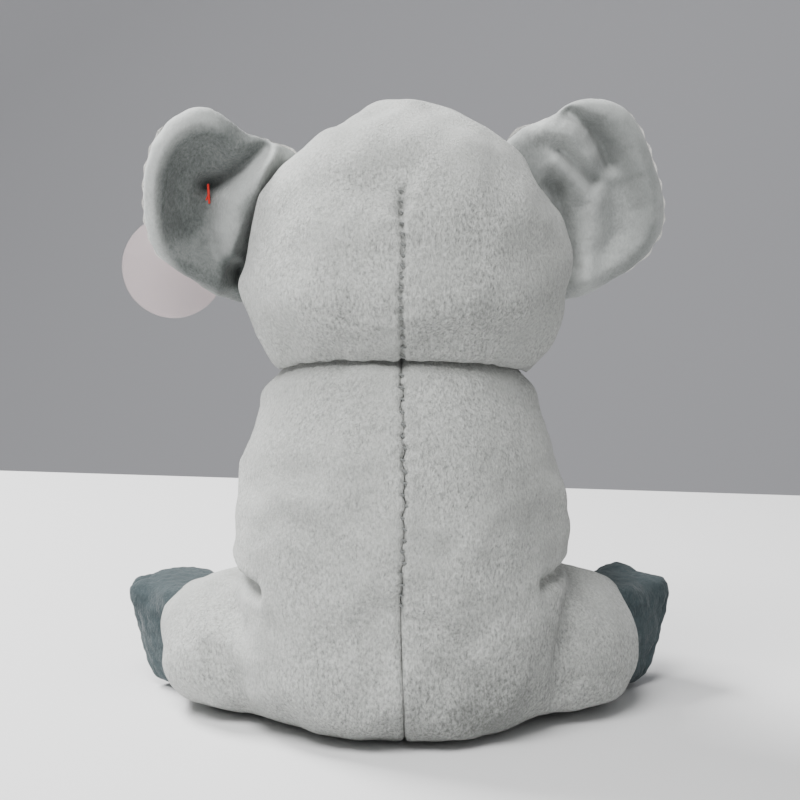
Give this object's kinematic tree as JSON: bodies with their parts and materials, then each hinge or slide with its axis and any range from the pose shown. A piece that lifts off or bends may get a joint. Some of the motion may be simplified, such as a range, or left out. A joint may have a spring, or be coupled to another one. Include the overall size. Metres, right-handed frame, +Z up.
{
  "type": "stuffed elephant",
  "caption": "Seated stuffed elephant in short-pile plush with round ears, a trunk, stub legs with dark feet, soft joints and a hang tag on one ear.",
  "frame": {"origin": "centre of the flat seat face the toy rests on", "axes": "+Z up, the elephant faces -Y, its own left is +X"},
  "size_m": [0.2438, 0.1769, 0.2478],
  "materials": {
    "plush": "short grey-green pile",
    "lining": "cream short pile",
    "foot": "dark blue-grey pile",
    "stuffing": "loose fibre filling",
    "bean_bag": "woven bag of pellets",
    "thread": "sewing thread",
    "eye": "polished black",
    "washer": "natural plastic",
    "fastener": "red plastic",
    "tag": "clear, faintly pink sheet"
  },
  "bodies": {
    "torso": {"back_panel_left": "plush", "back_panel_right": "plush", "belly_panel": "plush", "seat_panel": "plush", "torso_filling": "stuffing", "bean_bag": "bean_bag", "back_seam_thread": "thread"},
    "neck": {"neck_filling": "stuffing"},
    "head": {"head_back_panel": "plush", "face_panel_left": "plush", "face_panel_right": "plush", "head_filling": "stuffing", "eye_left": "eye", "eye_right": "eye", "eye_washer_left": "washer", "eye_washer_right": "washer", "head_seam_thread": "thread", "neck_seam_thread": "thread"},
    "trunk": {"trunk_skin_left": "plush", "trunk_skin_right": "plush", "trunk_filling": "stuffing"},
    "ear_left": {"ear_back_left": "plush", "ear_lining_left": "lining", "tag_fastener": "fastener"},
    "ear_right": {"ear_back_right": "plush", "ear_lining_right": "lining"},
    "arm_left": {"arm_outer_left": "plush", "arm_inner_left": "plush", "paw_pad_left": "foot", "arm_filling_left": "stuffing"},
    "arm_right": {"arm_outer_right": "plush", "arm_inner_right": "plush", "paw_pad_right": "foot", "arm_filling_right": "stuffing"},
    "leg_left": {"leg_back_left": "plush", "leg_front_left": "plush", "foot_upper_left": "foot", "foot_sole_left": "foot", "leg_filling_left": "stuffing"},
    "leg_right": {"leg_back_right": "plush", "leg_front_right": "plush", "foot_upper_right": "foot", "foot_sole_right": "foot", "leg_filling_right": "stuffing"},
    "hang_tag": {"hang_tag": "tag"}
  },
  "joints": [
    {"name": "head_turn", "type": "hinge", "parent": "torso", "child": "neck", "pos_m": [0, 0, 0.105], "axis": [0, 0, 1], "range_deg": [-10, 10], "stiffness_Nm_per_rad": 0.6},
    {"name": "head_nod", "type": "hinge", "parent": "neck", "child": "head", "pos_m": [0, 0, 0.105], "axis": [1, 0, 0], "range_deg": [-8, 8], "stiffness_Nm_per_rad": 0.9},
    {"name": "trunk_lift", "type": "hinge", "parent": "head", "child": "trunk", "pos_m": [0, -0.057, 0.172], "axis": [-1, 0, 0], "range_deg": [-10, 20], "stiffness_Nm_per_rad": 0.08},
    {"name": "ear_left_fold", "type": "hinge", "parent": "head", "child": "ear_left", "pos_m": [0.0604, -0.008, 0.201], "axis": [-0.2921, 0.0783, 0.9532], "range_deg": [-15, 20], "stiffness_Nm_per_rad": 0.04},
    {"name": "ear_right_fold", "type": "hinge", "parent": "head", "child": "ear_right", "pos_m": [-0.0604, -0.008, 0.201], "axis": [-0.2921, -0.0783, -0.9532], "range_deg": [-15, 20], "stiffness_Nm_per_rad": 0.04},
    {"name": "arm_left_swing", "type": "hinge", "parent": "torso", "child": "arm_left", "pos_m": [0.043, -0.052, 0.102], "axis": [-1, 0, 0], "range_deg": [-10, 20], "stiffness_Nm_per_rad": 0.08},
    {"name": "arm_right_swing", "type": "hinge", "parent": "torso", "child": "arm_right", "pos_m": [-0.043, -0.052, 0.102], "axis": [-1, 0, 0], "range_deg": [-10, 20], "stiffness_Nm_per_rad": 0.08},
    {"name": "leg_left_spread", "type": "hinge", "parent": "torso", "child": "leg_left", "pos_m": [0.059, -0.017, 0.026], "axis": [0, 0, 1], "range_deg": [-8, 8], "stiffness_Nm_per_rad": 0.3},
    {"name": "leg_right_spread", "type": "hinge", "parent": "torso", "child": "leg_right", "pos_m": [-0.059, -0.017, 0.026], "axis": [0, 0, -1], "range_deg": [-8, 8], "stiffness_Nm_per_rad": 0.3},
    {"name": "tag_swing", "type": "hinge", "parent": "ear_left", "child": "hang_tag", "pos_m": [0.093, -0.03, 0.197], "axis": [0, 1, 0], "range_deg": [-25, 25]}
  ]
}
